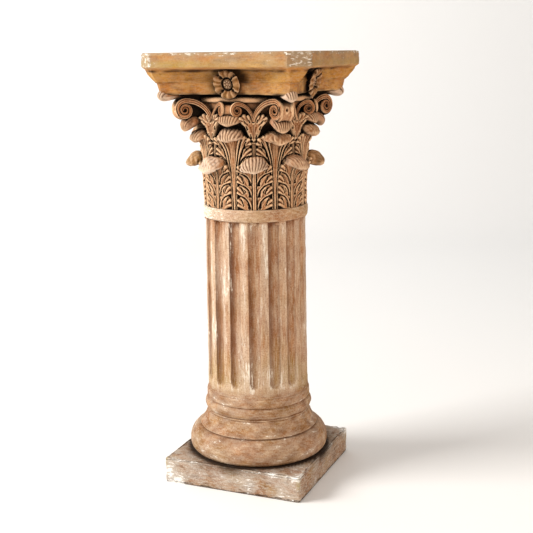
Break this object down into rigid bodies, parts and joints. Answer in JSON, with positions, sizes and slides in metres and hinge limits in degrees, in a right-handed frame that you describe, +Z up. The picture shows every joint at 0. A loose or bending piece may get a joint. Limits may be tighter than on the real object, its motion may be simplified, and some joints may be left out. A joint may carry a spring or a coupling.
{
  "type": "corinthian pedestal",
  "caption": "Column pedestal with a square plinth, moulded base, fluted shaft, neck band, leaf and scroll capital and a flat square top for a plant, bust or lamp.",
  "frame": {"origin": "middle of the plinth's underside, on the floor", "axes": "+Z up; -Y and +X out of two neighbouring faces of the plinth and of the abacus"},
  "size_m": [0.306, 0.306, 0.7606],
  "materials": {
    "plinth": "rough fired clay, weathered, with white salt bloom",
    "shaft": "rough fired clay, pale on the raised edges and brown in the flutes",
    "capital": "rough fired clay with a dark brown wash in the carving"
  },
  "bodies": {
    "root": {"plinth": "plinth", "shaft": "shaft", "capital": "capital"}
  },
  "joints": []
}
